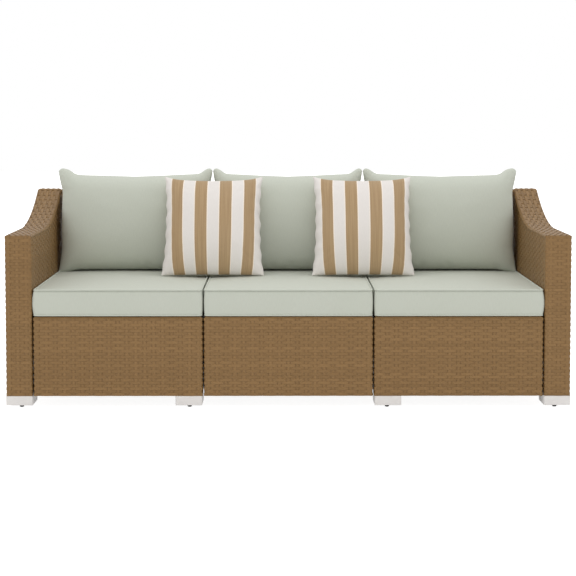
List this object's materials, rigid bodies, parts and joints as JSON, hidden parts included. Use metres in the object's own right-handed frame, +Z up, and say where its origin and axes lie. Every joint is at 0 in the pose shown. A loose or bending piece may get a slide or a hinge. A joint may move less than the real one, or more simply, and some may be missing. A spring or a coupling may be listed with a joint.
{
  "type": "rattan garden sofa",
  "caption": "Long woven-rattan garden sofa with swept arms, low block feet on screw glides, boxed seat cushions, knife-edge back cushions and striped throw pillows.",
  "frame": {"origin": "on the floor under the middle of the sofa, at the glides' soles", "axes": "+X along the sofa's length to the right as seen from in front, +Y from the front to the back, +Z up"},
  "size_m": [1.86, 0.745, 0.7692],
  "materials": {
    "wicker": "satin",
    "frame_steel": "satin",
    "foot_silver": "satin",
    "glide_black": "matte",
    "bolt_steel": "satin",
    "sage_cloth": "matte",
    "striped_cloth": "matte",
    "foam": "matte",
    "fibre": "matte"
  },
  "bodies": {
    "sofa": {"left_arm_frame": "frame_steel", "left_arm_weave": "wicker", "right_arm_frame": "frame_steel", "right_arm_weave": "wicker", "left_seat_frame": "frame_steel", "left_apron_weave": "wicker", "left_seat_deck": "wicker", "left_back_frame": "frame_steel", "left_back_weave": "wicker", "left_seat_cover": "sage_cloth", "left_seat_foam": "foam", "left_back_cover": "sage_cloth", "left_back_fill": "fibre", "middle_seat_frame": "frame_steel", "middle_apron_weave": "wicker", "middle_seat_deck": "wicker", "middle_back_frame": "frame_steel", "middle_back_weave": "wicker", "middle_seat_cover": "sage_cloth", "middle_seat_foam": "foam", "middle_back_cover": "sage_cloth", "middle_back_fill": "fibre", "right_seat_frame": "frame_steel", "right_apron_weave": "wicker", "right_seat_deck": "wicker", "right_back_frame": "frame_steel", "right_back_weave": "wicker", "right_seat_cover": "sage_cloth", "right_seat_foam": "foam", "right_back_cover": "sage_cloth", "right_back_fill": "fibre", "left_throw_cover": "striped_cloth", "left_throw_fill": "fibre", "right_throw_cover": "striped_cloth", "right_throw_fill": "fibre", "left_outer_front_foot": "foot_silver", "left_outer_rear_foot": "foot_silver", "left_inner_front_foot": "foot_silver", "left_inner_rear_foot": "foot_silver", "right_outer_front_foot": "foot_silver", "right_outer_rear_foot": "foot_silver", "right_inner_front_foot": "foot_silver", "right_inner_rear_foot": "foot_silver", "left_arm_bolt_front": "bolt_steel", "left_arm_bolt_rear": "bolt_steel", "right_arm_bolt_front": "bolt_steel", "right_arm_bolt_rear": "bolt_steel", "left_link_bolt_front": "bolt_steel", "left_link_bolt_rear": "bolt_steel", "right_link_bolt_front": "bolt_steel", "right_link_bolt_rear": "bolt_steel"},
    "left_outer_front_glide": {"left_outer_front_glide": "glide_black"},
    "left_outer_rear_glide": {"left_outer_rear_glide": "glide_black"},
    "left_inner_front_glide": {"left_inner_front_glide": "glide_black"},
    "left_inner_rear_glide": {"left_inner_rear_glide": "glide_black"},
    "right_outer_front_glide": {"right_outer_front_glide": "glide_black"},
    "right_outer_rear_glide": {"right_outer_rear_glide": "glide_black"},
    "right_inner_front_glide": {"right_inner_front_glide": "glide_black"},
    "right_inner_rear_glide": {"right_inner_rear_glide": "glide_black"}
  },
  "joints": [
    {"name": "left_outer_front_screw", "type": "slide", "parent": "sofa", "child": "left_outer_front_glide", "axis": [0, 0, -1], "range_m": [0, 0.01]},
    {"name": "left_outer_rear_screw", "type": "slide", "parent": "sofa", "child": "left_outer_rear_glide", "axis": [0, 0, -1], "range_m": [0, 0.01]},
    {"name": "left_inner_front_screw", "type": "slide", "parent": "sofa", "child": "left_inner_front_glide", "axis": [0, 0, -1], "range_m": [0, 0.01]},
    {"name": "left_inner_rear_screw", "type": "slide", "parent": "sofa", "child": "left_inner_rear_glide", "axis": [0, 0, -1], "range_m": [0, 0.01]},
    {"name": "right_outer_front_screw", "type": "slide", "parent": "sofa", "child": "right_outer_front_glide", "axis": [0, 0, -1], "range_m": [0, 0.01]},
    {"name": "right_outer_rear_screw", "type": "slide", "parent": "sofa", "child": "right_outer_rear_glide", "axis": [0, 0, -1], "range_m": [0, 0.01]},
    {"name": "right_inner_front_screw", "type": "slide", "parent": "sofa", "child": "right_inner_front_glide", "axis": [0, 0, -1], "range_m": [0, 0.01]},
    {"name": "right_inner_rear_screw", "type": "slide", "parent": "sofa", "child": "right_inner_rear_glide", "axis": [0, 0, -1], "range_m": [0, 0.01]}
  ]
}
